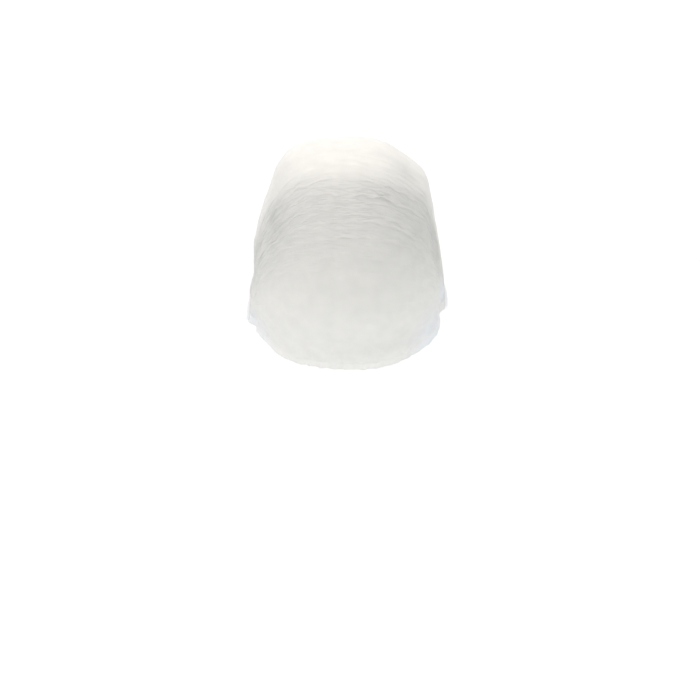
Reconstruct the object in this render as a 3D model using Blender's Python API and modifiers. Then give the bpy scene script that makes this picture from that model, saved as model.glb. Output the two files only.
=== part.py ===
"""A clip cap: a hair cover of pleated nonwoven cloth, in the shape it takes on a head.

One sheet is folded into narrow pleats. Both of its ends are pressed shut, so all pleats meet
in a short upright weld beside each ear and fan out from there over the crown. The sheet's
two long edges are hems gathered on elastic, one over the forehead and one at the nape.

Metres. X points to the wearer's left, Y to the back of the head and Z up. The origin is the
point inside the top of the crown where the cap sits on the head.
"""

import math
from collections import namedtuple

import bmesh
import bpy
import numpy as np

# Reach of the inner surface from the origin
CROWN_WIDTH = 0.160
FRONT_REACH = 0.102
BACK_REACH = 0.107
NAPE_DROP = 0.1912

# Pressed ends of the sheet, beside the ears
LEFT_WELD_DROP = 0.1465
RIGHT_WELD_DROP = 0.1345
WELD_FORWARD = 0.008
WELD_HEIGHT = 0.012
WELD_WIDTH = 0.005
WELD_STAND = 0.0020
WELD_OVERLAP = 0.0015
WELD_ROUNDING = 0.0006
WELD_FLARE = 0.0045

# Cloth and elastic hems
WALL = 0.0012
HEM_WIDTH = 0.006
HEM_THICKNESS = 0.0024
GAP = 0.0003

# Folds
PLEAT_HEIGHT = 0.0020
RUFFLE_HEIGHT = 0.0016
RUFFLE_RUN = 0.018
HEM_RUFFLE = 0.3
DENT_HEIGHT = 0.003

PLEAT_COUNT = 30
RUFFLE_COUNT = 20
COLUMNS = 2 * RUFFLE_COUNT
ROWS = 2 * PLEAT_COUNT
FLARE_POWER = 6
WELD_TIP = 0.45
WELD_BEVEL_STEPS = 2
CURVE_SAMPLES = 240
CREASE_ANGLE = math.radians(14)
EDGE_FADE = 0.5
SMALLEST = 1e-12

# The middle of the sheet from the forehead hem to the nape hem. reach is a share of
# FRONT_REACH where negative and of BACK_REACH where positive, drop a share of NAPE_DROP,
# fullness the exponent of the rounded arc from weld to weld, pleats a share of PLEAT_HEIGHT.
Section = namedtuple("Section", "name reach drop fullness pleats")
SECTIONS = (
    Section("forehead hem", -0.93, 0.400, 2.3, 0.0),
    Section("brow puff", -1.00, 0.310, 2.4, 0.7),
    Section("forehead", -0.94, 0.180, 2.5, 1.0),
    Section("front of the top", -0.62, 0.045, 2.8, 0.7),
    Section("top", 0.00, 0.000, 2.9, 0.4),
    Section("back of the top", 0.52, 0.040, 2.8, 0.5),
    Section("upper back", 0.85, 0.190, 2.5, 1.0),
    Section("back", 1.00, 0.450, 2.4, 0.9),
    Section("lower back", 0.97, 0.700, 2.2, 0.2),
    Section("bag", 0.80, 0.880, 2.15, 0.1),
    Section("nape hem", 0.52, 1.000, 2.12, 0.0),
)

# Dents and bulges of the worn sheet. across runs from the left weld to the right one and
# along from the forehead hem to the nape hem, both as shares; height is a share of DENT_HEIGHT.
Dent = namedtuple("Dent", "name across along across_spread along_spread height")
DENTS = (
    Dent("left shoulder", 0.36, 0.42, 0.05, 0.20, 0.6),
    Dent("left slope", 0.27, 0.42, 0.06, 0.20, -0.9),
    Dent("left bulge", 0.14, 0.45, 0.03, 0.20, 0.6),
    Dent("left waist", 0.08, 0.50, 0.03, 0.25, -0.9),
    Dent("right top", 0.65, 0.42, 0.05, 0.20, -0.9),
    Dent("right shoulder", 0.72, 0.44, 0.03, 0.16, 1.0),
    Dent("right flat", 0.83, 0.45, 0.07, 0.22, -1.0),
    Dent("right lower bulge", 0.83, 0.98, 0.06, 0.20, 0.9),
    Dent("right notch", 0.94, 0.98, 0.04, 0.20, -0.9),
    Dent("left lower waist", 0.10, 0.98, 0.06, 0.20, -1.2),
    Dent("centre fold", 0.47, 0.74, 0.02, 0.16, -0.35),
)


def clear_scene():
    for item in list(bpy.data.objects):
        bpy.data.objects.remove(item)


def smooth_curve(knots, samples):
    """Samples of a smooth curve through the knots, whose first two columns are its plane."""
    at = np.concatenate([[0.0], np.cumsum(np.linalg.norm(np.diff(knots[:, :2], axis=0), axis=1))])
    slopes = np.gradient(knots, at, axis=0)
    stations = np.linspace(0.0, at[-1], samples)
    low = np.clip(np.searchsorted(at, stations, side="right") - 1, 0, len(at) - 2)
    span = (at[low + 1] - at[low])[:, None]
    t = (stations - at[low])[:, None] / span
    return (
        knots[low] * (2 * t**3 - 3 * t**2 + 1)
        + slopes[low] * span * (t**3 - 2 * t**2 + t)
        + knots[low + 1] * (3 * t**2 - 2 * t**3)
        + slopes[low + 1] * span * (t**3 - t**2)
    )


def evenly_spaced(curve, count, dimensions):
    """Points at equal distances along a sampled curve, with its other columns carried along."""
    steps = np.linalg.norm(np.diff(curve[:, :dimensions], axis=0), axis=1)
    length = np.concatenate([[0.0], np.cumsum(steps)])
    wanted = np.linspace(0.0, length[-1], count)
    return np.stack([np.interp(wanted, length, column) for column in curve.T], axis=1)


def middle_line():
    """Y, Z, fullness and pleat share of each row of the sheet, halfway between the welds."""
    knots = np.array([
        (
            row.reach * (FRONT_REACH if row.reach < 0 else BACK_REACH),
            -row.drop * NAPE_DROP,
            row.fullness,
            row.pleats,
        )
        for row in SECTIONS
    ])
    return evenly_spaced(smooth_curve(knots, CURVE_SAMPLES), ROWS + 1, 2)


def weld_arch(along):
    """Y and Z, from the weld's centre, where a row of the sheet ends in the upright weld."""
    turn = math.pi * along
    return -WELD_WIDTH / 2 * math.cos(turn), WELD_HEIGHT * (math.sin(turn) - 0.5)


def pleat_line(along, middle_y, middle_z, fullness):
    """Points of one row of the sheet, from the left weld over the head to the right weld."""
    turn = np.linspace(math.pi / 2, -math.pi / 2, CURVE_SAMPLES)
    side, rise = np.sin(turn), np.abs(np.cos(turn))
    size = (np.abs(side) ** fullness + rise**fullness) ** (-1 / fullness)
    side, rise = side * size, rise * size
    arch_y, arch_z = weld_arch(along)
    weld_z = -(LEFT_WELD_DROP * (1 + side) + RIGHT_WELD_DROP * (1 - side)) / 2
    x = side * CROWN_WIDTH / 2 + np.sign(side) * WELD_FLARE * (1 - rise) ** FLARE_POWER
    y = (arch_y - WELD_FORWARD) * (1 - rise) + middle_y * rise
    z = (weld_z + arch_z) * (1 - rise) + middle_z * rise
    return evenly_spaced(np.stack([x, y, z], axis=1), COLUMNS + 1, 3)


def normals_of(sheet):
    across, along = np.gradient(sheet, axis=0), np.gradient(sheet, axis=1)
    normal = np.cross(along, across)
    return normal / np.maximum(np.linalg.norm(normal, axis=2, keepdims=True), SMALLEST)


def dents_at(across, along):
    """Height of the worn sheet's dents and bulges over its smooth shape."""
    height = np.zeros_like(across)
    for dent in DENTS:
        reach_across = (across - dent.across) / dent.across_spread
        reach_along = (along - dent.along) / dent.along_spread
        height += dent.height * DENT_HEIGHT * np.exp(-(reach_across**2) - reach_along**2)
    return height


def ruffles_at(across, along, length):
    """Height of the gathers that the elastic draws up beside both hems."""
    from_hem = np.minimum(along, 1 - along) * length
    run = from_hem / RUFFLE_RUN
    rise = HEM_RUFFLE + (1 - HEM_RUFFLE) * run * np.exp(1 - run)
    fade = np.exp(-((run / 2) ** 2)) * np.sin(math.pi * across) ** EDGE_FADE
    return RUFFLE_HEIGHT * rise * fade * np.cos(2 * math.pi * RUFFLE_COUNT * across)


def folded_sheet():
    """Grids of the smooth and the folded inner surface, from left to right and hem to hem."""
    middle = middle_line()
    alongs = np.linspace(0.0, 1.0, ROWS + 1)
    lines = [pleat_line(at, y, z, full) for at, (y, z, full, _) in zip(alongs, middle)]
    sheet = np.stack(lines, axis=1)
    across, along = np.meshgrid(np.linspace(0.0, 1.0, COLUMNS + 1), alongs, indexing="ij")
    spacing = np.linalg.norm(np.gradient(sheet, axis=1), axis=2)
    widest = spacing.max(axis=0)
    length = float(spacing[COLUMNS // 2].sum())
    edges = np.sin(math.pi * across) ** EDGE_FADE
    crease = np.where(np.arange(ROWS + 1) % 2, 1.0, -1.0)
    pleats = PLEAT_HEIGHT / 2 * middle[:, 3] * crease * spacing / widest * edges
    height = pleats + dents_at(across, along) * edges + ruffles_at(across, along, length)
    return sheet, sheet + normals_of(sheet) * height[:, :, None]


def sheet_object(name, grid, wall, centred, collection, material):
    """A grid of points as a closed cloth wall that grows outwards, or to both sides."""
    columns, rows = grid.shape[0] - 1, grid.shape[1] - 1
    mesh = bmesh.new()
    bmesh.ops.create_grid(mesh, x_segments=columns, y_segments=rows, size=0.5)
    for vertex in mesh.verts:
        column = round((vertex.co.x + 0.5) * columns)
        row = round((vertex.co.y + 0.5) * rows)
        vertex.co = grid[column, row]
    bmesh.ops.reverse_faces(mesh, faces=mesh.faces)
    data = bpy.data.meshes.new(name)
    mesh.to_mesh(data)
    mesh.free()
    data.shade_smooth()
    data.set_sharp_from_angle(angle=CREASE_ANGLE)
    item = bpy.data.objects.new(name, data)
    item.data.materials.append(material)
    collection.objects.link(item)
    solidify = item.modifiers.new("cloth wall", "SOLIDIFY")
    solidify.thickness = wall
    solidify.offset = 0.0 if centred else 1.0


def hem_grid(smooth, folded, row, inner_row):
    """A strip that carries the smooth sheet on past one edge of the folded one."""
    along_edge = np.gradient(folded[:, row], axis=0)
    along_edge /= np.linalg.norm(along_edge, axis=1, keepdims=True)
    away = smooth[:, row] - smooth[:, inner_row]
    away /= np.linalg.norm(away, axis=1, keepdims=True)
    start = GAP / np.linalg.norm(np.cross(away, along_edge), axis=1, keepdims=True)
    middle = folded[:, row] + normals_of(smooth)[:, row] * WALL / 2
    return np.stack([middle + away * start, middle + away * (start + HEM_WIDTH)], axis=1)


def build_hems(smooth, folded, collection, material):
    forehead = hem_grid(smooth, folded, 0, 1)
    nape = hem_grid(smooth, folded, -1, -2)
    sheet_object("forehead_hem", forehead[:, ::-1], HEM_THICKNESS, True, collection, material)
    sheet_object("nape_hem", nape, HEM_THICKNESS, True, collection, material)


def build_weld(name, side, drop, collection, material):
    """The upright tab in which all pleats of one end are pressed together."""
    base = CROWN_WIDTH / 2 + WELD_FLARE + (WALL + HEM_THICKNESS) / 2 + GAP
    tall = WELD_HEIGHT + HEM_WIDTH + WELD_OVERLAP
    wide = WELD_WIDTH + 2 * WELD_OVERLAP
    mesh = bmesh.new()
    bmesh.ops.create_cube(mesh, size=1.0)
    for vertex in mesh.verts:
        outer = vertex.co.x * side > 0
        vertex.co.x = side * (base + (WELD_STAND if outer else 0.0))
        vertex.co.y *= wide * (WELD_TIP if outer else 1.0)
        vertex.co.z *= tall * (WELD_TIP if outer else 1.0)
    outer_edges = [edge for edge in mesh.edges if min(v.co.x * side for v in edge.verts) > base]
    bmesh.ops.bevel(
        mesh, geom=outer_edges, offset=WELD_ROUNDING, segments=WELD_BEVEL_STEPS, affect="EDGES"
    )
    bmesh.ops.recalc_face_normals(mesh, faces=mesh.faces)
    data = bpy.data.meshes.new(name)
    mesh.to_mesh(data)
    mesh.free()
    item = bpy.data.objects.new(name, data)
    item.data.materials.append(material)
    item.location = (0.0, -WELD_FORWARD, (WELD_OVERLAP - HEM_WIDTH) / 2 - drop)
    collection.objects.link(item)


def cloth_material(name, colour, roughness):
    material = bpy.data.materials.new(name)
    material.use_nodes = True
    shader = material.node_tree.nodes["Principled BSDF"]
    shader.inputs["Base Color"].default_value = (*colour, 1.0)
    shader.inputs["Roughness"].default_value = roughness
    shader.inputs["Metallic"].default_value = 0.0
    return material


def main():
    clear_scene()
    collection = bpy.data.collections.new("clip_cap")
    bpy.context.scene.collection.children.link(collection)
    nonwoven = cloth_material("nonwoven cloth", (0.86, 0.86, 0.84), 0.85)
    hem_cloth = cloth_material("gathered hem", (0.88, 0.88, 0.87), 0.80)
    pressed = cloth_material("pressed cloth", (0.80, 0.82, 0.84), 0.55)
    smooth, folded = folded_sheet()
    sheet_object("crown_sheet", folded, WALL, False, collection, nonwoven)
    build_hems(smooth, folded, collection, hem_cloth)
    build_weld("end_weld_left", 1, LEFT_WELD_DROP, collection, pressed)
    build_weld("end_weld_right", -1, RIGHT_WELD_DROP, collection, pressed)


main()
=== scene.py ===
import math
from collections import namedtuple

import bpy
import numpy as np
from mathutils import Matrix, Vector


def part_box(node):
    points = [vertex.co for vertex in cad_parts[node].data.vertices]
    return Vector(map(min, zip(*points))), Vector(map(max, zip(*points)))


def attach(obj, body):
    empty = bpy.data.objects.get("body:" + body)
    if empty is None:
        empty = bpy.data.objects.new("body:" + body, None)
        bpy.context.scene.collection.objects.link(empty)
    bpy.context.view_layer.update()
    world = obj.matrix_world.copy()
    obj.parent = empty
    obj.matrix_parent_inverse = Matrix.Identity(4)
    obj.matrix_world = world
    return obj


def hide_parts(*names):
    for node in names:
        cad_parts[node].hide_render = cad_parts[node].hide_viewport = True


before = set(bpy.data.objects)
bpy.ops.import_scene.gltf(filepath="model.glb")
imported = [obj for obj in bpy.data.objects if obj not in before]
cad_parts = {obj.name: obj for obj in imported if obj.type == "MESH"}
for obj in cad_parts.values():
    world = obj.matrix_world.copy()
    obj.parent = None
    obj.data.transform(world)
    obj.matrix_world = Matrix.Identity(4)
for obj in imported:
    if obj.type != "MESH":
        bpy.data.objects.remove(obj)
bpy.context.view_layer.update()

bl_info = {
    "name": "Clip cap finish",
    "version": (1, 0, 0),
    "blender": (4, 5, 0),
    "location": "View3D > Sidebar > Clip cap",
    "description": "Creased cloth, gathered hems, pressed welds and a studio for a worn clip cap",
    "category": "Object",
}

# Form of the smooth sheet, as the solid crown has it. The middle of a weld lies WELD_SAG under
# the ends of the pleats, because the weld holds the ends of the hems too.
FRONT_REACH = 0.102
BACK_REACH = 0.107
CROWN_WIDTH = 0.160
NAPE_DROP = 0.1912
WELD_FORWARD = 0.008
WELD_HEIGHT = 0.012
WELD_WIDTH = 0.005
WELD_FLARE = 0.0045
WELD_SAG = 0.00225
WALL = 0.0012
HEM_WIDTH = 0.006
FLARE_POWER = 6
CURVE_SAMPLES = 240

# The middle of the sheet from the forehead hem to the nape hem. reach is a share of
# FRONT_REACH where negative and of BACK_REACH where positive, drop a share of NAPE_DROP,
# fullness the exponent of the rounded arc from weld to weld, creases a share of the crease height.
Section = namedtuple("Section", "name reach drop fullness creases")
SECTIONS = (
    Section("forehead hem", -0.93, 0.400, 2.3, 0.0),
    Section("brow puff", -1.00, 0.310, 2.4, 0.6),
    Section("forehead", -0.94, 0.180, 2.5, 1.0),
    Section("front of the top", -0.62, 0.045, 2.8, 0.5),
    Section("top", 0.00, 0.000, 2.9, 0.1),
    Section("back of the top", 0.52, 0.040, 2.8, 0.15),
    Section("upper back", 0.85, 0.190, 2.5, 1.0),
    Section("back", 1.00, 0.450, 2.4, 0.85),
    Section("lower back", 0.97, 0.700, 2.2, 0.25),
    Section("bag", 0.80, 0.880, 2.15, 0.04),
    Section("nape hem", 0.52, 1.000, 2.12, 0.0),
)

# Dents and bulges of the worn sheet. across runs from the left weld to the right one and
# along from the forehead hem to the nape hem, both as shares; height is a share of DENT_HEIGHT.
DENT_HEIGHT = 0.003
Dent = namedtuple("Dent", "name across along across_spread along_spread height")
DENTS = (
    Dent("left shoulder", 0.36, 0.42, 0.05, 0.20, 0.6),
    Dent("left slope", 0.27, 0.42, 0.06, 0.20, -0.9),
    Dent("left bulge", 0.14, 0.45, 0.03, 0.20, 0.6),
    Dent("left waist", 0.08, 0.50, 0.03, 0.25, -0.9),
    Dent("right top", 0.65, 0.42, 0.05, 0.20, -0.9),
    Dent("right shoulder", 0.72, 0.44, 0.03, 0.16, 0.9),
    Dent("right flat", 0.83, 0.45, 0.07, 0.22, -1.0),
    Dent("right lower bulge", 0.83, 0.98, 0.06, 0.20, 0.9),
    Dent("right notch", 0.94, 0.98, 0.04, 0.20, -0.9),
    Dent("left lower waist", 0.10, 0.98, 0.06, 0.20, -1.2),
    Dent("centre fold", 0.475, 0.73, 0.016, 0.17, -0.42),
    Dent("upper back ridge", 0.52, 0.565, 0.24, 0.035, 0.35),
    Dent("back hollow", 0.50, 0.655, 0.30, 0.075, -0.60),
    Dent("bag swell", 0.52, 0.84, 0.28, 0.07, 0.75),
    Dent("right ear fold", 0.80, 0.79, 0.014, 0.07, 0.35),
    Dent("right ear valley", 0.765, 0.80, 0.018, 0.08, -0.30),
    Dent("right hem corner", 0.86, 1.00, 0.04, 0.10, 0.2),
    Dent("right hem notch", 0.960, 1.00, 0.026, 0.08, -2.7),
    Dent("left hem notch", 0.05, 1.00, 0.022, 0.08, -3.2),
    Dent("left hem slope", 0.17, 1.00, 0.05, 0.10, -1.4),
)

# Places where the sheet's creases are drawn up hardest, given as the dents are
RUCKS = (
    Dent("left ruck 1", 0.28, 0.560, 0.025, 0.008, 1.4),
    Dent("left ruck 2", 0.30, 0.600, 0.025, 0.008, 1.7),
    Dent("left ruck 3", 0.315, 0.640, 0.025, 0.008, 1.7),
    Dent("right rucks", 0.84, 0.60, 0.06, 0.07, 1.1),
)

# Places beside the ears where the creases run on below the creased part, as shares of its own
FRETS = (
    Dent("left ear", 0.14, 0.75, 0.06, 0.10, 0.85),
    Dent("right ear", 0.86, 0.74, 0.06, 0.10, 0.60),
)

# Places where the cloth stands free of the head and light comes through it, painted as a cooler tone in its
# colour; height is the share of that tone
PAINTED_THROUGH_LIGHT_SPOTS = (
    Dent("right ear", 0.95, 0.82, 0.05, 0.14, 1.1),
    Dent("right nape", 0.82, 0.99, 0.085, 0.11, 1.1),
    Dent("left ear", 0.03, 0.95, 0.03, 0.12, 0.8),
    Dent("left nape", 0.13, 0.97, 0.06, 0.07, 0.6),
)

# Spots of painted shade in the cloth's colour, where the sides, shoulders and nape fall in shade and where
# creases lie close
PAINTED_SHADE_SPOTS = (
    Dent("right side", 0.70, 0.58, 0.06, 0.10, 0.45),
    Dent("left side", 0.15, 0.53, 0.10, 0.08, 0.25),
    Dent("left shoulder", 0.355, 0.52, 0.04, 0.03, 0.35),
    Dent("left flank", 0.31, 0.64, 0.05, 0.09, 0.28),
    Dent("right shoulder", 0.65, 0.52, 0.04, 0.035, 0.50),
    Dent("right back", 0.61, 0.61, 0.05, 0.035, 0.28),
    Dent("nape", 0.60, 0.95, 0.22, 0.035, 0.30),
)

# Share along the sheet of its topmost place, where the cloth is smooth and lit, how far from it the
# painted shade starts and is full, and how much sooner that is beside a weld
TOP_AT = 0.48
TOP_CLEAR = 0.06
TOP_REACH = 0.14
TOP_NARROWING = 0.15

# Strength of the shade painted into the cloth's colour where creases lie close, and the share of creases
# that it starts from
PAINTED_CREASE_SHADE = 0.76
PAINTED_SHADE_FROM = 0.2

# Grid of the finished sheet
ROWS_PER_PLEAT = 7
PLEATS = 48
ROWS = ROWS_PER_PLEAT * PLEATS
COLUMNS = 140
DENSE_ROWS = 400
HEM_COLUMNS = 430
HEM_RING = 16

# Rise of the cloth over one pleat, from its tucked edge to its outer fold
PLEAT_RISE = (0.45, 0.0, 0.06, 0.16, 0.32, 0.60, 1.0)

# How strongly a pleat stands out along its way, how much that drifts, and its limits
STEADY_STRENGTH = 0.85
STEADY_DRIFT = 0.5
STRENGTH_LIMITS = (0.3, 1.3)

# Least strength of an arc, and least strength and spread of one pleat against the others
ARC_LEAST = 0.30
PLEAT_LEAST = 0.55
PLEAT_SPREAD = 0.7

# Strength of every other pleat, what it gains lower down, and between which shares along
OTHER_PLEATS = 0.35
OTHER_GAIN = 0.5
OTHER_GAIN_FROM = 0.66
OTHER_GAIN_TO = 0.74

# How much weaker the creases are over the middle of the head
MIDDLE_EASING = 0.18

# Width of one arc in a pleat's outer fold, and of the folds bundled beside a weld in pleats
ARC_WIDTH = 0.021
BUNDLE = 4.2

# Distances from a weld within which the pleats stay shut, are bundled and have no painted shade
SHUT_REACH = 0.034
BUNDLE_REACH = 0.030
SHADE_FREE_REACH = 0.050

# Shares of the broad, the middle and the fine dimples of slack cloth, and each one's cells across
# and along the sheet
DIMPLES = ((0.9, 9, 9), (0.4, 20, 20), (0.28, 40, 70))

# Puckers in a hem's edge for each gather beside it, and their rise forth and outwards
EDGE_PUCKERS = 2.3
EDGE_FORTH = 0.0001
EDGE_RISE = 0.0002

# A weld's tab: the ribs that the welding tool presses into it, how far its lower end stands
# out, and its half sizes, depth in the cloth and drop as shares of its solid's sizes
WELD_RIBS = 5
WELD_TILT = math.radians(6)
TAB_SIZE = (1.05, 0.50, 0.46)
TAB_DEPTH = 1.12
TAB_DROP = 0.04

# How round a tab is, and the depth and border of its grooves while it is a cube 2 wide
TAB_ROUNDING = 0.80
GROOVE_DEPTH = 0.4
GROOVE_INSET = 0.02

# Tones that the cloth takes on where it is thin and at its bond points, and the painted shade where creases
# lie close and the sides fall in shade
THIN_TINT = (0.94, 0.944, 0.948, 1.0)
BOND_TINT = (0.96, 0.965, 0.97, 1.0)
PAINTED_SHADE_TINT = (0.82, 0.826, 0.838, 1.0)

# Depths of the cloth's filaments and bond points, of its fine creases, and of the welds' grain
FIBRE_RELIEF = 0.00012
CREASE_RELIEF = 0.0004
WELD_GRAIN = 0.0001

# Where the lights stand and aim, how wide they are, and the colour of the floor's own light
KEY_PLACE = (0, 0.1, 1.1)
KEY_SIZE = 0.9
SIDE_PLACE = (1.0, 0.7, 0.9)
SIDE_SIZE = 0.8
LAMP_AIM = (0, 0, -0.1)
GLOW_COLOUR = (0.75, 0.88, 1.0, 1.0)

# How far the hems turn outwards from the sheet's own direction
HEM_TURN = math.radians(22)

# How far a hem stands out from the sheet, and reaches back over it
HEM_STAND = 0.00015
HEM_TUCK = 0.0016


class CapSettings(bpy.types.PropertyGroup):
    cloth_colour: bpy.props.FloatVectorProperty(
        name="Cloth colour", description="Colour of a single layer of the nonwoven cloth",
        subtype="COLOR", size=4, min=0, max=1, default=(0.87, 0.872, 0.853, 1.0),
    )
    hem_colour: bpy.props.FloatVectorProperty(
        name="Hem colour", description="Colour of the folded cloth around the elastic",
        subtype="COLOR", size=4, min=0, max=1, default=(0.89, 0.893, 0.88, 1.0),
    )
    hem_width: bpy.props.FloatProperty(
        name="Hem width", description="Width of the folded hem around its elastic",
        unit="LENGTH", default=0.0070, min=0.002, max=0.02, precision=4,
    )
    hem_fold: bpy.props.FloatProperty(
        name="Hem thickness", description="Thickness of the folded hem",
        unit="LENGTH", default=0.0018, min=0.0005, max=0.006, precision=5,
    )
    hem_allowance: bpy.props.FloatProperty(
        name="Hem allowance", description="How far the turned-in cloth of a hem reaches behind the sheet",
        unit="LENGTH", default=0.018, min=0.0, max=0.05, precision=4,
    )
    weld_colour: bpy.props.FloatVectorProperty(
        name="Weld colour", description="Colour of the pleats where heat has fused them",
        subtype="COLOR", size=4, min=0, max=1, default=(0.845, 0.865, 0.888, 1.0),
    )
    # Painted light: a cooler tone painted where light comes through the cloth beside the ears
    painted_through_light_colour: bpy.props.FloatVectorProperty(
        name="Haze colour", description="Cooler tone of the cloth where it stands free beside the ears",
        subtype="COLOR", size=4, min=0, max=1, default=(0.86, 0.895, 0.945, 1.0),
    )
    cloth_wall: bpy.props.FloatProperty(
        name="Cloth thickness", description="Thickness of the nonwoven cloth",
        unit="LENGTH", default=0.0003, min=0.0001, max=0.001, precision=5,
    )
    crease_height: bpy.props.FloatProperty(
        name="Crease height", description="Rise of the opened pleats over the middle of the head",
        unit="LENGTH", default=0.00106, min=0.0, max=0.004, precision=5,
    )
    arc_depth: bpy.props.FloatProperty(
        name="Arc depth", description="How far the arcs in a pleat's outer fold rise between their ends",
        unit="LENGTH", default=0.0033, min=0.0, max=0.004, precision=5,
    )
    fan_height: bpy.props.FloatProperty(
        name="Fan height", description="Rise of the coarse folds that gather into a weld",
        unit="LENGTH", default=0.0012, min=0.0, max=0.004, precision=5,
    )
    crease_wander: bpy.props.FloatProperty(
        name="Crease wander", description="How far a crease strays from its even course",
        unit="LENGTH", default=0.0034, min=0.0, max=0.01, precision=5,
    )
    gather_count: bpy.props.IntProperty(
        name="Gathers", description="Puckers that the elastic draws up along one hem",
        default=20, min=6, max=40,
    )
    gather_height: bpy.props.FloatProperty(
        name="Gather height", description="Rise of the puckers beside a hem",
        unit="LENGTH", default=0.0013, min=0.0, max=0.004, precision=5,
    )
    gather_run: bpy.props.FloatProperty(
        name="Gather run", description="How far the puckers reach from a hem",
        unit="LENGTH", default=0.014, min=0.002, max=0.05, precision=4,
    )
    mottle_height: bpy.props.FloatProperty(
        name="Mottle height", description="Rise of the faint dimples of slack cloth",
        unit="LENGTH", default=0.0010, min=0.0, max=0.002, precision=5,
    )


class StageSettings(bpy.types.PropertyGroup):
    floor_level: bpy.props.FloatProperty(
        name="Floor level", description="Height of the floor under the crown",
        unit="LENGTH", default=-0.55, min=-2.0, max=-0.2,
    )
    floor_size: bpy.props.FloatProperty(
        name="Floor size", description="Width of the square floor",
        unit="LENGTH", default=24.0, min=2.0, max=60.0,
    )
    floor_colour: bpy.props.FloatVectorProperty(
        name="Floor colour", description="Colour of the plain floor",
        subtype="COLOR", size=4, min=0, max=1, default=(0.95, 0.95, 0.95, 1.0),
    )
    lens: bpy.props.FloatProperty(
        name="Lens", description="Focal length of the camera",
        unit="CAMERA", default=106.0, min=20, max=300,
    )
    camera_place: bpy.props.FloatVectorProperty(
        name="Camera place", description="Where the camera stands behind the cap",
        subtype="XYZ", unit="LENGTH", size=3, default=(0.0, 1.793, -0.037),
    )
    camera_aim: bpy.props.FloatVectorProperty(
        name="Camera aim", description="Point that the camera looks at",
        subtype="XYZ", unit="LENGTH", size=3, default=(-0.0026, 0.0, -0.184),
    )
    key_power: bpy.props.FloatProperty(
        name="Key power", description="Power of the soft light above the cap",
        unit="POWER", default=7.1, min=0, max=500,
    )
    side_power: bpy.props.FloatProperty(
        name="Side power", description="Power of the soft light above and beside the cap",
        unit="POWER", default=3.3, min=0, max=500,
    )
    lamp_colour: bpy.props.FloatVectorProperty(
        name="Lamp colour", description="Warm colour of both soft lights",
        subtype="COLOR", size=3, min=0, max=1, default=(1.0, 0.918, 0.898),
    )
    floor_glow: bpy.props.FloatProperty(
        name="Floor glow", description="Light that the white floor gives off by itself",
        default=0.15, min=0, max=3,
    )
    sky_behind: bpy.props.FloatVectorProperty(
        name="Sky behind the cap", description="Light of the surroundings that the camera sees",
        subtype="COLOR", size=4, min=0, max=5, default=(1.05, 1.05, 1.05, 1.0),
    )
    sky_before: bpy.props.FloatVectorProperty(
        name="Sky before the cap", description="Light of the surroundings behind the camera",
        subtype="COLOR", size=4, min=0, max=5, default=(0.842, 0.820, 0.775, 1.0),
    )


def smooth_curve(knots, samples):
    """Samples of a smooth curve through the knots, whose first two columns are its plane."""
    at = np.concatenate([[0.0], np.cumsum(np.linalg.norm(np.diff(knots[:, :2], axis=0), axis=1))])
    slopes = np.gradient(knots, at, axis=0)
    stations = np.linspace(0.0, at[-1], samples)
    low = np.clip(np.searchsorted(at, stations, side="right") - 1, 0, len(at) - 2)
    span = (at[low + 1] - at[low])[:, None]
    t = (stations - at[low])[:, None] / span
    return (
        knots[low] * (2 * t**3 - 3 * t**2 + 1)
        + slopes[low] * span * (t**3 - 2 * t**2 + t)
        + knots[low + 1] * (3 * t**2 - 2 * t**3)
        + slopes[low + 1] * span * (t**3 - t**2)
    )


def evenly_spaced(curve, count, dimensions):
    """Points at equal distances along a sampled curve, with its other columns carried along."""
    steps = np.linalg.norm(np.diff(curve[:, :dimensions], axis=0), axis=1)
    length = np.concatenate([[0.0], np.cumsum(steps)])
    wanted = np.linspace(0.0, length[-1], count)
    return np.stack([np.interp(wanted, length, column) for column in curve.T], axis=1)


def soft_noise(across, along, cells_across, cells_along, seed):
    """Smooth noise from -1 to 1 at shares across and along the sheet."""
    values = np.random.default_rng(seed).uniform(-1, 1, (cells_across + 2, cells_along + 2))
    x, y = np.clip(across, 0, 1) * cells_across, np.clip(along, 0, 1) * cells_along
    column, row = np.floor(x).astype(int), np.floor(y).astype(int)
    u, v = x - column, y - row
    u, v = u * u * (3 - 2 * u), v * v * (3 - 2 * v)
    low = values[column, row] * (1 - u) + values[column + 1, row] * u
    high = values[column, row + 1] * (1 - u) + values[column + 1, row + 1] * u
    return low * (1 - v) + high * v


def smooth_step(low, high, value):
    share = np.clip((value - low) / (high - low), 0.0, 1.0)
    return share * share * (3 - 2 * share)


def normals_of(sheet):
    across, along = np.gradient(sheet, axis=0), np.gradient(sheet, axis=1)
    normal = np.cross(along, across)
    return normal / np.maximum(np.linalg.norm(normal, axis=2, keepdims=True), 1e-12)


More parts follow.
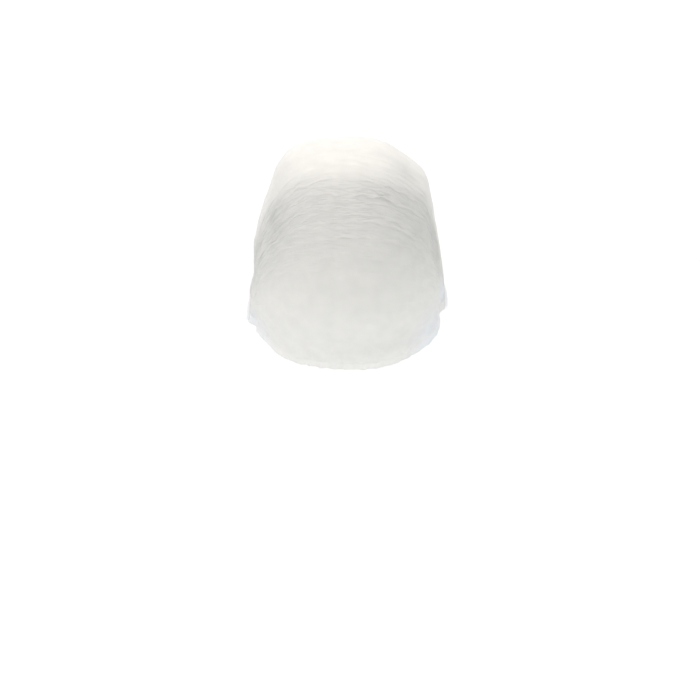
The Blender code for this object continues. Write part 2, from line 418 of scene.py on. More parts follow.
class CapForm:
    """The smooth worn sheet and the places on it, with its welds at the height of the solids."""

    def __init__(self):
        left_low, left_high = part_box("end_weld_left")
        right_low, right_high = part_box("end_weld_right")
        self.left_drop = -(left_low.z + left_high.z) / 2 - WELD_SAG
        self.right_drop = -(right_low.z + right_high.z) / 2 - WELD_SAG
        middle = self.middle_line(DENSE_ROWS + 1)
        self.creases = middle[:, 3]
        alongs = np.linspace(0.0, 1.0, DENSE_ROWS + 1)
        rows = [self.pleat_line(at, y, z, full, COLUMNS) for at, (y, z, full, _) in zip(alongs, middle)]
        self.sheet = np.stack(rows, axis=1)
        self.alongs = alongs
        half = COLUMNS // 2
        self.length = float(np.linalg.norm(np.diff(self.sheet[half], axis=0), axis=1).sum())
        self.span = float(np.linalg.norm(np.diff(self.sheet[:, DENSE_ROWS // 2], axis=0), axis=1).sum())

    def middle_line(self, count):
        knots = np.array([
            (
                row.reach * (FRONT_REACH if row.reach < 0 else BACK_REACH),
                -row.drop * NAPE_DROP,
                row.fullness,
                row.creases,
            )
            for row in SECTIONS
        ])
        return evenly_spaced(smooth_curve(knots, CURVE_SAMPLES), count, 2)

    def pleat_line(self, along, middle_y, middle_z, fullness, columns):
        """Points of one row of the sheet, from the left weld over the head to the right weld."""
        turn = np.linspace(math.pi / 2, -math.pi / 2, CURVE_SAMPLES)
        side, rise = np.sin(turn), np.abs(np.cos(turn))
        size = (np.abs(side) ** fullness + rise**fullness) ** (-1 / fullness)
        side, rise = side * size, rise * size
        arch_y = -WELD_WIDTH / 2 * math.cos(math.pi * along)
        arch_z = WELD_HEIGHT * (math.sin(math.pi * along) - 0.5)
        weld_z = -(self.left_drop * (1 + side) + self.right_drop * (1 - side)) / 2
        x = side * CROWN_WIDTH / 2 + np.sign(side) * WELD_FLARE * (1 - rise) ** FLARE_POWER
        y = (arch_y - WELD_FORWARD) * (1 - rise) + middle_y * rise
        z = (weld_z + arch_z) * (1 - rise) + middle_z * rise
        return evenly_spaced(np.stack([x, y, z], axis=1), columns + 1, 3)

    def at(self, alongs):
        """Points of the smooth sheet at each column's own places along it."""
        return np.stack([
            np.stack([np.interp(row, self.alongs, axis) for axis in column.T], axis=1)
            for row, column in zip(alongs, self.sheet)
        ])

    def crease_share(self, along):
        return np.interp(along, self.alongs, self.creases)


def spots_at(spots, across, along):
    """Sum of the spots' soft humps at shares across and along the sheet."""
    total = np.zeros_like(across)
    for spot in spots:
        reach_across = (across - spot.across) / spot.across_spread
        reach_along = (along - spot.along) / spot.along_spread
        total += spot.height * np.exp(-(reach_across**2) - reach_along**2)
    return total


def row_stations(form):
    """Where the finished rows lie along the sheet, closer together where it is creased."""
    density = 1.0 + form.creases
    total = np.concatenate([[0.0], np.cumsum((density[1:] + density[:-1]) / 2)])
    return np.interp(np.linspace(0.0, total[-1], ROWS + 1), total, form.alongs)


def pleat_arcs(form, across):
    """Arcs in the pleats' outer folds, and how strongly each arc stands out."""
    share, pleat = np.meshgrid(across[:, 0], np.arange(PLEATS + 2), indexing="ij")
    drift = 0.9 * soft_noise(share, pleat / (PLEATS + 1), 7, PLEATS + 1, 13)
    place = share * form.span / ARC_WIDTH + 0.5 * (pleat % 2) + drift + 1
    number = np.floor(place).astype(int)
    arcs = 4 * (place - number) * (1 - place + number)
    lifts = np.random.default_rng(14).uniform(0.0, 1.0, (number.max() + 1, PLEATS + 2))
    return arcs, arcs * lifts[number, pleat]


def over_rows(values):
    """Values of the pleats carried over to the rows between them."""
    row = np.arange(ROWS + 1)
    low, part = row // ROWS_PER_PLEAT, row % ROWS_PER_PLEAT / ROWS_PER_PLEAT
    part = part * part * (3 - 2 * part)
    return values[:, low] * (1 - part) + values[:, low + 1] * part


def near_welds(form, across, reach):
    """Share that falls off with the distance from either weld."""
    left, right = across * form.span / reach, (1 - across) * form.span / reach
    return np.exp(-(left**2)) + np.exp(-(right**2))


def creases_at(form, settings, across, along, lifts):
    """Height of the opened pleats in their broken, arched folds."""
    row = np.arange(ROWS + 1)
    saw = np.array(PLEAT_RISE)[row % ROWS_PER_PLEAT] - np.mean(PLEAT_RISE)
    pleat = (row + ROWS_PER_PLEAT - 1) // ROWS_PER_PLEAT
    steady = soft_noise(across, pleat / (PLEATS + 1) * np.ones_like(across), 8, PLEATS + 1, 21)
    uneven = np.random.default_rng(22).uniform(0.0, 1.0, PLEATS + 2)[pleat]
    other = OTHER_PLEATS + OTHER_GAIN * smooth_step(OTHER_GAIN_FROM, OTHER_GAIN_TO, along)
    turn = np.where(pleat % 2 == 0, 1.0, other)
    middle = 1 - MIDDLE_EASING * np.sin(math.pi * across) ** 4
    strength = np.clip(STEADY_STRENGTH + STEADY_DRIFT * steady, *STRENGTH_LIMITS)
    strength *= ARC_LEAST + lifts[:, pleat]
    strength *= turn * (PLEAT_LEAST + PLEAT_SPREAD * uneven) * middle
    strength += spots_at(RUCKS, across, along)
    free = 1 - near_welds(form, across, SHUT_REACH)
    share = form.crease_share(along) + spots_at(FRETS, across, along)
    return saw * settings.crease_height * share * strength * np.maximum(free, 0)


def bundles_at(form, settings, across, along):
    """Height of the coarse folds that gather into each weld."""
    pleat = np.arange(ROWS + 1) / ROWS_PER_PLEAT * np.ones_like(across)
    drift = 0.35 * soft_noise(across, along, 30, 16, 61)
    wave = np.cos(2 * math.pi * (pleat / BUNDLE + drift))
    lift = 0.75 + 0.5 * soft_noise(across, along, 14, 18, 62)
    lift *= 0.35 + 0.65 * smooth_step(0.80, 0.55, along)
    held = smooth_step(0.001, 0.016, np.minimum(across, 1 - across) * form.span)
    return settings.fan_height * wave * lift * held * near_welds(form, across, BUNDLE_REACH)


def gathers_at(form, settings, across, along):
    """Height of the puckers that the elastic draws up beside both hems."""
    run = np.minimum(along, 1 - along) * form.length / settings.gather_run
    fade = (0.35 + 0.65 * np.minimum(run * 2, 1)) * np.exp(-(run**2) / 2)
    drift = 0.5 * soft_noise(across, np.round(along), 12, 2, 31)
    lift = 0.75 + 0.5 * soft_noise(across, np.round(along), 24, 2, 32)
    ends = np.sin(math.pi * across) ** 0.5
    wave = np.cos(2 * math.pi * (settings.gather_count * across + drift))
    return settings.gather_height * fade * lift * ends * wave


def mottle_at(settings, across, along):
    """Faint dimples of cloth that lies slack."""
    total = np.zeros_like(across)
    for number, (rise, cells_across, cells_along) in enumerate(DIMPLES):
        total += rise * soft_noise(across, along, cells_across, cells_along, 40 + number)
    return settings.mottle_height * total * np.sin(math.pi * across) ** 0.5


def painted_shade_at(form, across, along):
    """Share of the shade painted into the cloth's colour: where creases lie close, off the lit top and away
    from the welds, plus the painted shade spots.
    """
    tone = np.clip((1 + PAINTED_SHADE_FROM) * form.crease_share(along) - PAINTED_SHADE_FROM, 0, 1)
    tone *= PAINTED_CREASE_SHADE * (1 - np.clip(near_welds(form, across, SHADE_FREE_REACH), 0, 1))
    narrowing = TOP_NARROWING * (1 - np.sin(math.pi * across))
    tone *= smooth_step(TOP_CLEAR, TOP_REACH, np.abs(along - TOP_AT) + narrowing)
    return np.clip(tone + spots_at(PAINTED_SHADE_SPOTS, across, along), 0, 1)


def worn_sheet(form, settings):
    """The finished sheet's grid of points, with the shares across and along of each."""
    share = np.linspace(0.0, 1.0, COLUMNS + 1)
    across, along = np.meshgrid(share, row_stations(form), indexing="ij")
    arcs, lifts = pleat_arcs(form, across)
    wander = soft_noise(across, along, 12, 16, 11) + 0.25 * soft_noise(across, along, 34, 60, 12)
    free = np.sin(math.pi * along) ** 0.5 * np.sin(math.pi * across) ** 0.5
    arch = settings.arc_depth * (over_rows(arcs) - 0.6) * form.crease_share(along)
    shift = settings.crease_wander * wander - arch
    along = along + shift / form.length * free
    points = form.at(along)
    edges = np.sin(math.pi * across) ** 0.5
    height = (
        WALL / 2
        + spots_at(DENTS, across, along) * DENT_HEIGHT * edges
        + creases_at(form, settings, across, along, lifts)
        + bundles_at(form, settings, across, along)
        + gathers_at(form, settings, across, along)
        + mottle_at(settings, across, along)
    )
    return points + normals_of(points) * height[:, :, None], across, along


def deselect_all():
    if bpy.context.object and bpy.context.object.mode != "OBJECT":
        bpy.ops.object.mode_set(mode="OBJECT")
    bpy.ops.object.select_all(action="DESELECT")


def select_faces(piece, wanted):
    """Selects the faces that a test picks by their place and direction."""
    bpy.context.tool_settings.mesh_select_mode = (False, False, True)
    for vertex in piece.data.vertices:
        vertex.select = False
    for edge in piece.data.edges:
        edge.select = False
    for face in piece.data.polygons:
        face.select = wanted(face)


def set_points(mesh, points):
    mesh.vertices.foreach_set("co", np.asarray(points, np.float32).ravel())
    mesh.update()


def add_grid(name, columns, rows):
    """A flat grid and, for each of its points, the column and row that it belongs to."""
    deselect_all()
    bpy.ops.mesh.primitive_grid_add(x_subdivisions=columns, y_subdivisions=rows, size=1.0)
    piece = bpy.context.object
    piece.name = name
    piece.data.name = name
    flat = np.zeros(len(piece.data.vertices) * 3, np.float32)
    piece.data.vertices.foreach_get("co", flat)
    flat = flat.reshape(-1, 3)
    column = np.rint((flat[:, 0] + 0.5) * columns).astype(int)
    row = np.rint((flat[:, 1] + 0.5) * rows).astype(int)
    return piece, column, row


def flip_faces(piece):
    bpy.context.view_layer.objects.active = piece
    bpy.ops.object.mode_set(mode="EDIT")
    bpy.ops.mesh.select_all(action="SELECT")
    bpy.ops.mesh.flip_normals()
    bpy.ops.object.mode_set(mode="OBJECT")


def set_map(mesh, across, along):
    """Lays the piece's map out in metres of cloth, so that its fibres keep their size."""
    corners = np.zeros(len(mesh.loops), np.int32)
    mesh.loops.foreach_get("vertex_index", corners)
    places = np.stack([across[corners], along[corners]], axis=1)
    mesh.uv_layers[0].data.foreach_set("uv", places.astype(np.float32).ravel())


def add_share(mesh, name, values):
    share = mesh.attributes.new(name, "FLOAT", "POINT")
    share.data.foreach_set("value", values.astype(np.float32))


def apply_modifier(piece, kind, **values):
    modifier = piece.modifiers.new(kind.lower(), kind)
    for name, value in values.items():
        setattr(modifier, name, value)
    bpy.context.view_layer.objects.active = piece
    bpy.ops.object.modifier_apply(modifier=modifier.name)


def finish_piece(piece, node, material):
    piece.data.materials.clear()
    piece.data.materials.append(material)
    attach(piece, "root")
    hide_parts(node)


def new_group(name, inputs, outputs):
    """An empty shader node group with its named sockets."""
    group = bpy.data.node_groups.new(name, "ShaderNodeTree")
    for socket, kind, value in inputs:
        made = group.interface.new_socket(socket, in_out="INPUT", socket_type=kind)
        if value is not None:
            made.default_value = value
    for socket, kind in outputs:
        group.interface.new_socket(socket, in_out="OUTPUT", socket_type=kind)
    return group, group.nodes.new("NodeGroupInput"), group.nodes.new("NodeGroupOutput")


def math_node(tree, operation, first, second):
    node = tree.nodes.new("ShaderNodeMath")
    node.operation = operation
    for socket, value in zip(node.inputs, (first, second)):
        if isinstance(value, bpy.types.NodeSocket):
            tree.links.new(value, socket)
        else:
            socket.default_value = value
    return node.outputs[0]


def fibre_group():
    """Random filaments laid over one another, with the cloudy density of spun cloth."""
    group, given, result = new_group(
        "Spun fibres",
        [("Vector", "NodeSocketVector", None), ("Fibre Scale", "NodeSocketFloat", 2600.0)],
        [("Fibres", "NodeSocketFloat"), ("Cloud", "NodeSocketFloat")],
    )
    layers = []
    for angle in (12, 58, 101, 149):
        turned = group.nodes.new("ShaderNodeMapping")
        turned.inputs["Rotation"].default_value = (0, 0, math.radians(angle))
        turned.inputs["Location"].default_value = (angle * 0.013, angle * 0.007, 0)
        group.links.new(given.outputs["Vector"], turned.inputs["Vector"])
        stretched = group.nodes.new("ShaderNodeMapping")
        stretched.inputs["Scale"].default_value = (1.0, 0.04, 1.0)
        group.links.new(turned.outputs[0], stretched.inputs["Vector"])
        noise = group.nodes.new("ShaderNodeTexNoise")
        noise.inputs["Detail"].default_value = 1.0
        group.links.new(stretched.outputs[0], noise.inputs["Vector"])
        group.links.new(given.outputs["Fibre Scale"], noise.inputs["Scale"])
        lines = group.nodes.new("ShaderNodeMapRange")
        lines.inputs["From Min"].default_value = 0.52
        lines.inputs["From Max"].default_value = 0.72
        group.links.new(noise.outputs[0], lines.inputs["Value"])
        layers.append(lines.outputs[0])
    total = layers[0]
    for layer in layers[1:]:
        total = math_node(group, "MAXIMUM", total, layer)
    cloud = group.nodes.new("ShaderNodeTexNoise")
    cloud.inputs["Scale"].default_value = 70.0
    cloud.inputs["Detail"].default_value = 5.0
    cloud.inputs["Roughness"].default_value = 0.62
    group.links.new(given.outputs["Vector"], cloud.inputs["Vector"])
    group.links.new(total, result.inputs["Fibres"])
    group.links.new(cloud.outputs[0], result.inputs["Cloud"])
    return group


def bond_group():
    """The grid of small pressed points that holds the filaments together."""
    group, given, result = new_group(
        "Bond points",
        [("Vector", "NodeSocketVector", None), ("Points per Metre", "NodeSocketFloat", 640.0)],
        [("Points", "NodeSocketFloat")],
    )
    turned = group.nodes.new("ShaderNodeMapping")
    turned.inputs["Rotation"].default_value = (0, 0, math.radians(45))
    group.links.new(given.outputs["Vector"], turned.inputs["Vector"])
    cells = group.nodes.new("ShaderNodeTexVoronoi")
    cells.inputs["Randomness"].default_value = 0.08
    group.links.new(turned.outputs[0], cells.inputs["Vector"])
    group.links.new(given.outputs["Points per Metre"], cells.inputs["Scale"])
    points = group.nodes.new("ShaderNodeMapRange")
    points.inputs["From Min"].default_value = 0.34
    points.inputs["From Max"].default_value = 0.20
    group.links.new(cells.outputs["Distance"], points.inputs["Value"])
    group.links.new(points.outputs[0], result.inputs["Points"])
    return group


def crease_group():
    """Fine broken creases that run from weld to weld."""
    group, given, result = new_group(
        "Fine creases",
        [("Vector", "NodeSocketVector", None), ("Creases per Metre", "NodeSocketFloat", 330.0)],
        [("Creases", "NodeSocketFloat")],
    )
    stretched = group.nodes.new("ShaderNodeMapping")
    stretched.inputs["Scale"].default_value = (0.22, 1.0, 1.0)
    group.links.new(given.outputs["Vector"], stretched.inputs["Vector"])
    noise = group.nodes.new("ShaderNodeTexNoise")
    noise.inputs["Detail"].default_value = 1.5
    noise.inputs["Distortion"].default_value = 0.2
    group.links.new(stretched.outputs[0], noise.inputs["Vector"])
    group.links.new(given.outputs["Creases per Metre"], noise.inputs["Scale"])
    middle = math_node(group, "SUBTRACT", noise.outputs[0], 0.5)
    distance = math_node(group, "ABSOLUTE", middle, 0.0)
    ridge = group.nodes.new("ShaderNodeMapRange")
    ridge.interpolation_type = "SMOOTHSTEP"
    ridge.inputs["From Min"].default_value = 0.16
    ridge.inputs["From Max"].default_value = 0.0
    group.links.new(distance, ridge.inputs["Value"])
    group.links.new(ridge.outputs[0], result.inputs["Creases"])
    return group


def cloth_material(name, colour, painted_through_light, doubled, roughness, through, relief):
    """White spun cloth: filaments, bond points, a cooler tone painted for the light that comes through
    where it stands free, and painted shade where creases lie close.
    """
    material = bpy.data.materials.new(name)
    material.use_nodes = True
    tree = material.node_tree
    shader = tree.nodes["Principled BSDF"]
    shader.inputs["Roughness"].default_value = roughness
    shader.inputs["Specular IOR Level"].default_value = 0.25
    shader.inputs["Sheen Weight"].default_value = 0.15
    shader.inputs["Sheen Roughness"].default_value = 0.6
    place = tree.nodes.new("ShaderNodeUVMap")
    fibres = tree.nodes.new("ShaderNodeGroup")
    fibres.node_tree = bpy.data.node_groups["Spun fibres"]
    tree.links.new(place.outputs[0], fibres.inputs["Vector"])
    bonds = tree.nodes.new("ShaderNodeGroup")
    bonds.node_tree = bpy.data.node_groups["Bond points"]
    tree.links.new(place.outputs[0], bonds.inputs["Vector"])
    # Painted light: share of the cooler tone painted where light comes through the cloth
    share = tree.nodes.new("ShaderNodeAttribute")
    share.attribute_name = "painted_through_light"
    tone = tree.nodes.new("ShaderNodeMix")
    tone.data_type = "RGBA"
    tone.inputs["A"].default_value = colour
    tone.inputs["B"].default_value = painted_through_light
    tree.links.new(share.outputs["Fac"], tone.inputs["Factor"])
    layers = tree.nodes.new("ShaderNodeAttribute")
    layers.attribute_name = "doubled"
    denser = tree.nodes.new("ShaderNodeMix")
    denser.data_type = "RGBA"
    denser.inputs["B"].default_value = doubled
    tree.links.new(layers.outputs["Fac"], denser.inputs["Factor"])
    tree.links.new(tone.outputs["Result"], denser.inputs["A"])
    thin = tree.nodes.new("ShaderNodeMix")
    thin.data_type = "RGBA"
    thin.blend_type = "MULTIPLY"
    thin.inputs["B"].default_value = THIN_TINT
    cloud = tree.nodes.new("ShaderNodeMapRange")
    cloud.inputs["From Min"].default_value = 0.35
    cloud.inputs["From Max"].default_value = 0.65
    tree.links.new(fibres.outputs["Cloud"], cloud.inputs["Value"])
    tree.links.new(cloud.outputs[0], thin.inputs["Factor"])
    tree.links.new(denser.outputs["Result"], thin.inputs["A"])
    dotted = tree.nodes.new("ShaderNodeMix")
    dotted.data_type = "RGBA"
    dotted.blend_type = "MULTIPLY"
    dotted.inputs["B"].default_value = BOND_TINT
    tree.links.new(bonds.outputs["Points"], dotted.inputs["Factor"])
    tree.links.new(thin.outputs["Result"], dotted.inputs["A"])
    # Painted shade: the colour is darkened by the painted shade share, which also scales the fine crease
    # bumps below
    shaded = tree.nodes.new("ShaderNodeMix")
    shaded.data_type = "RGBA"
    shaded.blend_type = "MULTIPLY"
    shaded.inputs["B"].default_value = PAINTED_SHADE_TINT
    crease_and_painted_shade = tree.nodes.new("ShaderNodeAttribute")
    crease_and_painted_shade.attribute_name = "crease_and_painted_shade"
    tree.links.new(crease_and_painted_shade.outputs["Fac"], shaded.inputs["Factor"])
    tree.links.new(dotted.outputs["Result"], shaded.inputs["A"])
    tree.links.new(shaded.outputs["Result"], shader.inputs["Base Color"])
    raised = math_node(tree, "MULTIPLY", fibres.outputs["Fibres"], 0.5)
    height = math_node(tree, "SUBTRACT", raised, bonds.outputs["Points"])
    bump = tree.nodes.new("ShaderNodeBump")
    bump.inputs["Strength"].default_value = relief
    bump.inputs["Distance"].default_value = FIBRE_RELIEF
    tree.links.new(height, bump.inputs["Height"])
    lines = tree.nodes.new("ShaderNodeGroup")
    lines.node_tree = bpy.data.node_groups["Fine creases"]
    tree.links.new(place.outputs[0], lines.inputs["Vector"])
    ridges = tree.nodes.new("ShaderNodeBump")
    ridges.inputs["Strength"].default_value = 0.9
    ridges.inputs["Distance"].default_value = CREASE_RELIEF
    shown = math_node(tree, "MULTIPLY", lines.outputs["Creases"], crease_and_painted_shade.outputs["Fac"])
    tree.links.new(shown, ridges.inputs["Height"])
    tree.links.new(bump.outputs[0], ridges.inputs["Normal"])
    tree.links.new(ridges.outputs[0], shader.inputs["Normal"])
    glow = tree.nodes.new("ShaderNodeBsdfTranslucent")
    glow.inputs["Color"].default_value = colour
    both = tree.nodes.new("ShaderNodeMixShader")
    both.inputs["Fac"].default_value = through
    tree.links.new(shader.outputs[0], both.inputs[1])
    tree.links.new(glow.outputs[0], both.inputs[2])
    tree.links.new(both.outputs[0], tree.nodes["Material Output"].inputs["Surface"])
    return material


def weld_material(name, colour):
    """Fused cloth: denser, smoother, with the marks of the pressing tool."""
    material = bpy.data.materials.new(name)
    material.use_nodes = True
    tree = material.node_tree
    shader = tree.nodes["Principled BSDF"]
    shader.inputs["Roughness"].default_value = 0.42
    shader.inputs["Specular IOR Level"].default_value = 0.4
    place = tree.nodes.new("ShaderNodeTexCoord")
    cloud = tree.nodes.new("ShaderNodeTexNoise")
    cloud.inputs["Scale"].default_value = 900.0
    cloud.inputs["Detail"].default_value = 3.0
    tree.links.new(place.outputs["Object"], cloud.inputs["Vector"])
    tone = tree.nodes.new("ShaderNodeMix")
    tone.data_type = "RGBA"
    tone.inputs["A"].default_value = colour
    tone.inputs["B"].default_value = (colour[0] * 0.9, colour[1] * 0.91, colour[2] * 0.93, 1.0)
    tree.links.new(cloud.outputs[0], tone.inputs["Factor"])
    tree.links.new(tone.outputs["Result"], shader.inputs["Base Color"])
    bump = tree.nodes.new("ShaderNodeBump")
    bump.inputs["Strength"].default_value = 0.5
    bump.inputs["Distance"].default_value = WELD_GRAIN
    tree.links.new(cloud.outputs[0], bump.inputs["Height"])
    tree.links.new(bump.outputs[0], shader.inputs["Normal"])
    return material


class CLIPCAP_OT_materials(bpy.types.Operator):
    """Makes the finishes of the cloth, the hems and the welds"""

    bl_idname = "clipcap.materials"
    bl_label = "Make finishes"

    def execute(self, context):
        cap = context.scene.clipcap
        fibre_group()
        bond_group()
        crease_group()
        layers = {"painted_through_light": cap.painted_through_light_colour, "doubled": cap.hem_colour, "relief": 0.6}
        cloth_material("nonwoven_cloth", cap.cloth_colour, roughness=0.85, through=0.25, **layers)
        cloth_material("hem_cloth", cap.hem_colour, roughness=0.8, through=0.15, **layers)
        weld_material("pressed_weld", cap.weld_colour)
        return {"FINISHED"}


class CLIPCAP_OT_crown(bpy.types.Operator):
    """Lays the creased sheet over the crown"""

    bl_idname = "clipcap.crown"
    bl_label = "Make crown sheet"

    def execute(self, context):
        cap = context.scene.clipcap
        form = CapForm()
        points, across, along = worn_sheet(form, cap)
        piece, column, row = add_grid("pleated_crown", COLUMNS, ROWS)
        set_points(piece.data, points[column, row])
        set_map(piece.data, across[column, row] * form.span, along[column, row] * form.length)
        # Share of the cooler tone painted where light comes through the cloth
        painted_through_light = np.clip(spots_at(PAINTED_THROUGH_LIGHT_SPOTS, across, along), 0, 1)
        add_share(piece.data, "painted_through_light", painted_through_light[column, row])
        # Share of painted shade in the sheet's colour, which also sets the strength of its fine crease
        # bumps
        add_share(piece.data, "crease_and_painted_shade", painted_shade_at(form, across, along)[column, row])
        to_hem = np.minimum(along, 1 - along) * form.length
        add_share(piece.data, "doubled", (1 - smooth_step(0.0, cap.hem_allowance, to_hem))[column, row])
        flip_faces(piece)
        apply_modifier(piece, "SOLIDIFY", thickness=cap.cloth_wall, offset=1.0)
        bpy.ops.object.shade_smooth()
        finish_piece(piece, "crown_sheet", bpy.data.materials["nonwoven_cloth"])
        return {"FINISHED"}


def unit(vectors):
    return vectors / np.maximum(np.linalg.norm(vectors, axis=-1, keepdims=True), 1e-12)


def hem_rings(form, settings, end):
    """Rings of points around the folded hem at the forehead, end 0, or at the nape, end 1."""
    share = np.linspace(0.0, 1.0, HEM_COLUMNS + 1)
    old = np.linspace(0.0, 1.0, COLUMNS + 1)
    step = HEM_WIDTH / form.length
    lines = [form.at(np.full((COLUMNS + 1, 1), at))[:, 0] for at in (end, abs(end - step))]
    edge, inner = (np.stack([np.interp(share, old, axis) for axis in line.T], axis=1) for line in lines)
    away, tangent = unit(edge - inner), unit(np.gradient(edge, axis=0))
    outward = unit(np.cross(tangent, away) * (-1 if end else 1))
    ends = np.sin(math.pi * share) ** 0.5
    place = np.full_like(share, float(end))
    lift = spots_at(DENTS, share, place) * DENT_HEIGHT * ends
    lift += gathers_at(form, settings, share, place) + mottle_at(settings, share, place)
    pucker = settings.gather_count * EDGE_PUCKERS * share + 0.6 * soft_noise(share, place, 16, 2, 51)
    ripple = np.cos(2 * math.pi * pucker) * (0.7 + 0.5 * soft_noise(share, place, 40, 2, 52)) * ends
    outer = WALL / 2 + settings.cloth_wall + HEM_STAND + lift
    rings = []
    for angle in np.linspace(0.0, 2 * math.pi, HEM_RING + 1):
        free = (1 - math.cos(angle)) / 2
        round_side = math.copysign(abs(math.sin(angle)) ** 0.4, math.sin(angle))
        forth = settings.hem_width * free - HEM_TUCK + EDGE_FORTH * ripple * free
        flare = math.tan(HEM_TURN) * settings.hem_width * free**2 * smooth_step(0.0, 0.12, ends - 0.1)
        flare = flare + EDGE_RISE * ripple * math.sin(math.pi * free)
        thick = settings.hem_fold / 2 * (round_side - 1)
        rings.append(edge + away * forth[:, None] + outward * (outer + flare + thick)[:, None])
    return np.stack(rings, axis=1), share


class CLIPCAP_OT_hems(bpy.types.Operator):
    """Folds the gathered hems around their elastic"""

    bl_idname = "clipcap.hems"
    bl_label = "Make hems"

    def execute(self, context):
        cap = context.scene.clipcap
        form = CapForm()
        for name, node, end in (("forehead_hem_fold", "forehead_hem", 0), ("nape_hem_fold", "nape_hem", 1)):
            rings, share = hem_rings(form, cap, end)
            piece, column, row = add_grid(name, HEM_COLUMNS, HEM_RING)
            set_points(piece.data, rings[column, row])
            girth = 2 * (cap.hem_width + cap.hem_fold)
            set_map(piece.data, share[column] * form.span, row / HEM_RING * girth)
            # Share of the cooler tone painted where light comes through the hem
            painted_through_light = np.clip(spots_at(PAINTED_THROUGH_LIGHT_SPOTS, share, np.full_like(share, float(end))), 0, 1)
            add_share(piece.data, "painted_through_light", painted_through_light[column])
            bpy.context.view_layer.objects.active = piece
            bpy.ops.object.mode_set(mode="EDIT")
            bpy.ops.mesh.select_all(action="SELECT")
            bpy.ops.mesh.remove_doubles(threshold=1e-6)
            bpy.ops.mesh.fill_holes(sides=0)
            bpy.ops.mesh.normals_make_consistent(inside=False)
            bpy.ops.object.mode_set(mode="OBJECT")
            bpy.ops.object.shade_smooth()
            finish_piece(piece, node, bpy.data.materials["hem_cloth"])
        return {"FINISHED"}


def is_groove(face, side):
    """Whether a face of the divided cube is on its outer side, between two ribs."""
    row = math.floor((face.center.z + 1) / 2 * (WELD_RIBS * 2 + 1))
    return face.normal.x * side > 0.9 and row % 2 == 1 and abs(face.center.y) < 0.8


class CLIPCAP_OT_welds(bpy.types.Operator):
    """Presses the ends of the pleats into a ribbed tab beside each ear"""

    bl_idname = "clipcap.welds"
    bl_label = "Make welds"

    def execute(self, context):
        for node, side in (("end_weld_left", 1), ("end_weld_right", -1)):
            low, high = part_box(node)
            deselect_all()
            bpy.ops.mesh.primitive_cube_add(size=2.0)
            piece = bpy.context.object
            piece.name = node + "_tab"
            bpy.ops.object.mode_set(mode="EDIT")
            bpy.ops.mesh.select_all(action="SELECT")
            bpy.ops.mesh.subdivide(number_cuts=WELD_RIBS * 2)
            bpy.ops.object.mode_set(mode="OBJECT")
            select_faces(piece, lambda face: is_groove(face, side))
            bpy.ops.object.mode_set(mode="EDIT")
            bpy.ops.mesh.inset(thickness=GROOVE_INSET)
            bpy.ops.transform.translate(value=(-GROOVE_DEPTH * side, 0, 0))
            bpy.ops.object.mode_set(mode="OBJECT")
            apply_modifier(piece, "CAST", factor=TAB_ROUNDING, cast_type="SPHERE", size=1.0)
            apply_modifier(piece, "SUBSURF", levels=1, render_levels=1)
            size = high - low
            piece.scale = [share * length for share, length in zip(TAB_SIZE, size)]
            piece.location = (low + high) / 2
            piece.location.x -= side * size.x * TAB_DEPTH
            piece.location.z -= size.z * TAB_DROP
            piece.rotation_euler.y = -side * WELD_TILT
            bpy.ops.object.transform_apply(location=True, rotation=True, scale=True)
            bpy.ops.object.shade_smooth()
            finish_piece(piece, node, bpy.data.materials["pressed_weld"])
        return {"FINISHED"}


def add_area(name, place, aim, size, power, colour):
    lamp = bpy.data.objects.new(name, bpy.data.lights.new(name, "AREA"))
    lamp.data.shape = "DISK"
    lamp.data.size = size
    lamp.data.energy = power
    lamp.data.color = colour
    lamp.location = place
    lamp.rotation_euler = (Vector(aim) - Vector(place)).to_track_quat("-Z", "Y").to_euler()
    bpy.context.scene.collection.objects.link(lamp)


def add_sky(stage):
    """Plain surroundings, white on the side that the camera sees and dimmer behind it."""
    world = bpy.data.worlds.new("studio")
    bpy.context.scene.world = world
    world.use_nodes = True
    tree = world.node_tree
    sky = tree.nodes["Background"]
    place = tree.nodes.new("ShaderNodeTexCoord")
    parts = tree.nodes.new("ShaderNodeSeparateXYZ")
    tree.links.new(place.outputs["Generated"], parts.inputs[0])
    level = tree.nodes.new("ShaderNodeMapRange")
    level.interpolation_type = "SMOOTHSTEP"
    level.inputs["From Min"].default_value = -0.6
    level.inputs["From Max"].default_value = 0.5
    tree.links.new(parts.outputs["Y"], level.inputs["Value"])
    both = tree.nodes.new("ShaderNodeMix")
    both.data_type = "RGBA"
    both.inputs["A"].default_value = stage.sky_behind
    both.inputs["B"].default_value = stage.sky_before
    tree.links.new(level.outputs[0], both.inputs["Factor"])
    tree.links.new(both.outputs["Result"], sky.inputs["Color"])


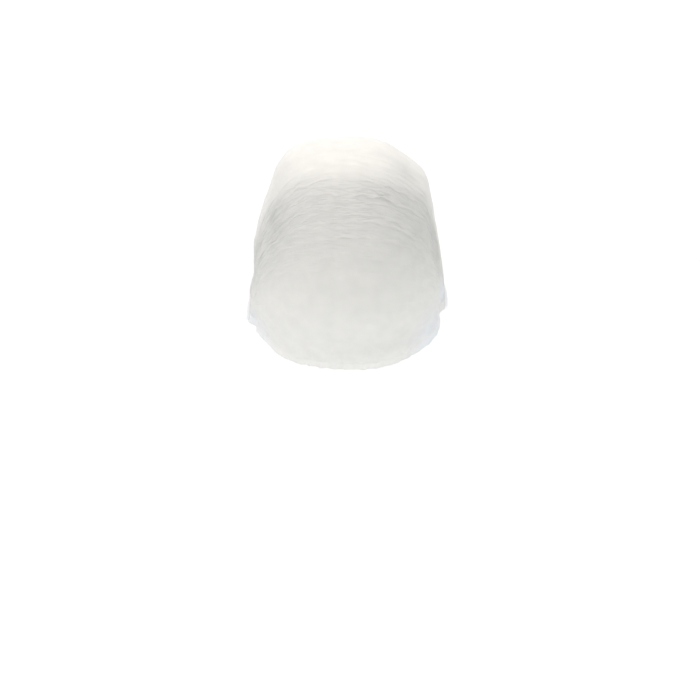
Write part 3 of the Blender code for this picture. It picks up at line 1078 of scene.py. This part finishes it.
class CLIPCAP_OT_stage(bpy.types.Operator):
    """Sets out the floor, the lights and the camera"""

    bl_idname = "clipcap.stage"
    bl_label = "Make studio"

    def execute(self, context):
        stage = context.scene.clipcap_stage
        deselect_all()
        bpy.ops.mesh.primitive_plane_add(size=stage.floor_size, location=(0, 0, stage.floor_level))
        floor = bpy.context.object
        floor.name = "floor"
        paper = bpy.data.materials.new("floor_paper")
        paper.use_nodes = True
        shader = paper.node_tree.nodes["Principled BSDF"]
        shader.inputs["Base Color"].default_value = stage.floor_colour
        shader.inputs["Roughness"].default_value = 0.9
        shader.inputs["Specular IOR Level"].default_value = 0.1
        shader.inputs["Emission Color"].default_value = GLOW_COLOUR
        shader.inputs["Emission Strength"].default_value = stage.floor_glow
        floor.data.materials.append(paper)
        add_sky(stage)
        add_area("key", KEY_PLACE, LAMP_AIM, KEY_SIZE, stage.key_power, stage.lamp_colour)
        add_area("side", SIDE_PLACE, LAMP_AIM, SIDE_SIZE, stage.side_power, stage.lamp_colour)
        camera = bpy.data.objects.new("camera", bpy.data.cameras.new("camera"))
        context.scene.collection.objects.link(camera)
        camera.data.lens = stage.lens
        camera.location = stage.camera_place
        aim = Vector(stage.camera_aim) - Vector(stage.camera_place)
        camera.rotation_euler = aim.to_track_quat("-Z", "Y").to_euler()
        context.scene.camera = camera
        context.scene.view_settings.view_transform = "Standard"
        return {"FINISHED"}


class CLIPCAP_PT_panel(bpy.types.Panel):
    """The cap's sizes and colours, and the steps that make it"""

    bl_idname = "CLIPCAP_PT_panel"
    bl_label = "Clip cap"
    bl_space_type = "VIEW_3D"
    bl_region_type = "UI"
    bl_category = "Clip cap"

    def draw(self, context):
        for settings in (context.scene.clipcap, context.scene.clipcap_stage):
            for name in settings.bl_rna.properties.keys():
                if name not in ("rna_type", "name"):
                    self.layout.prop(settings, name)
        for operator in OPERATORS:
            self.layout.operator(operator.bl_idname)


OPERATORS = (
    CLIPCAP_OT_materials, CLIPCAP_OT_crown, CLIPCAP_OT_hems, CLIPCAP_OT_welds, CLIPCAP_OT_stage,
)
CLASSES = (CapSettings, StageSettings, *OPERATORS, CLIPCAP_PT_panel)


def register():
    for item in CLASSES:
        bpy.utils.register_class(item)
    bpy.types.Scene.clipcap = bpy.props.PointerProperty(type=CapSettings)
    bpy.types.Scene.clipcap_stage = bpy.props.PointerProperty(type=StageSettings)


def unregister():
    del bpy.types.Scene.clipcap_stage
    del bpy.types.Scene.clipcap
    for item in reversed(CLASSES):
        bpy.utils.unregister_class(item)


def main():
    register()
    bpy.ops.clipcap.materials()
    bpy.ops.clipcap.crown()
    bpy.ops.clipcap.hems()
    bpy.ops.clipcap.welds()
    bpy.ops.clipcap.stage()


if __name__ == "__main__":
    main()
